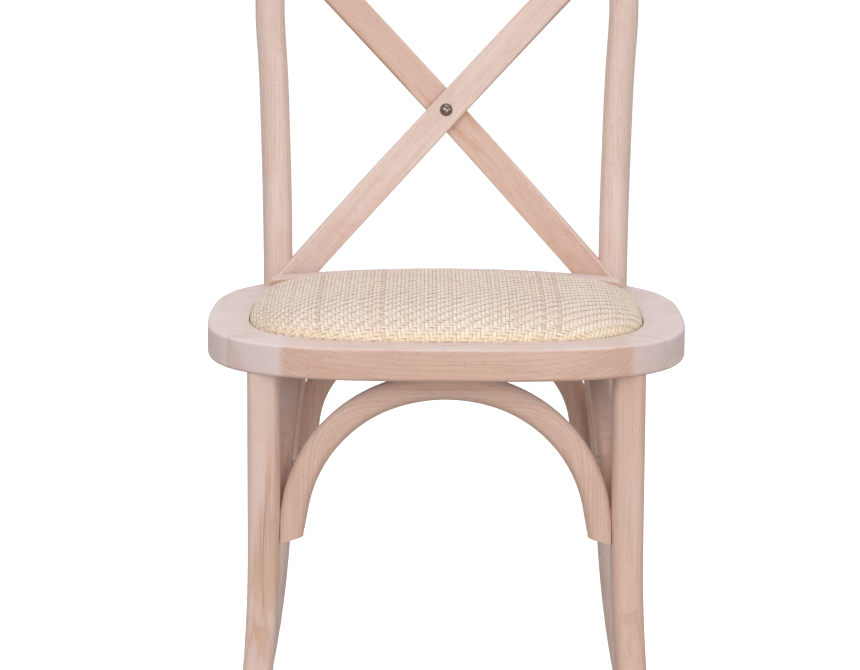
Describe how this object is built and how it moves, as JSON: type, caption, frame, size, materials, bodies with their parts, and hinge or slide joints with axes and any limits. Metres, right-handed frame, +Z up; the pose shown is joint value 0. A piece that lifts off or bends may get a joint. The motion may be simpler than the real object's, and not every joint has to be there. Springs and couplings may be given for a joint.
{
  "type": "cross back chair",
  "caption": "Wooden cross back dining chair with a bent hoop back, crossed slats, a rounded seat ring with a woven rattan panel and curved arches bracing the legs under the seat.",
  "frame": {"origin": "on the floor, in the middle of the chair's outline seen from above", "axes": "+X to the right as seen from the front, +Y from the front of the seat to the back, +Z up"},
  "size_m": [0.4876, 0.4946, 0.8736],
  "materials": {
    "beech": "whitewashed beech, satin lacquer",
    "beech_rear_slat": "whitewashed beech, satin lacquer, yellower board",
    "dowel_wood": "plain beech, fluted and unlacquered",
    "plywood": "sanded plywood, unlacquered",
    "rattan": "woven split rattan, matt",
    "foam": "upholstery foam, matt",
    "nickel": "nickel plated, polished",
    "screw_steel": "zinc plated steel",
    "glide_plastic": "moulded nylon, matt"
  },
  "bodies": {
    "root": {"seat_front_rail": "beech", "seat_rear_rail": "beech", "seat_left_rail": "beech", "seat_right_rail": "beech", "seat_rail_dowels": "dowel_wood", "back_hoop": "beech", "cross_slat_front": "beech", "cross_slat_rear": "beech_rear_slat", "cross_bolt": "nickel", "cross_bolt_cap_nut": "nickel", "slat_top_screws": "screw_steel", "slat_foot_screws": "screw_steel", "slat_foot_rail": "beech", "foot_rail_screws": "screw_steel", "front_right_leg": "beech", "front_left_leg": "beech", "front_arch": "beech", "rear_arch": "beech", "right_arch": "beech", "left_arch": "beech", "arch_end_screws": "screw_steel", "arch_top_screws": "screw_steel", "hoop_bolts": "screw_steel", "hoop_barrel_nuts": "screw_steel", "foot_glides": "glide_plastic", "rattan_seat_cover": "rattan", "seat_base_board": "plywood", "seat_foam_pad": "foam", "cover_staples": "screw_steel", "panel_screws": "screw_steel"}
  },
  "joints": []
}
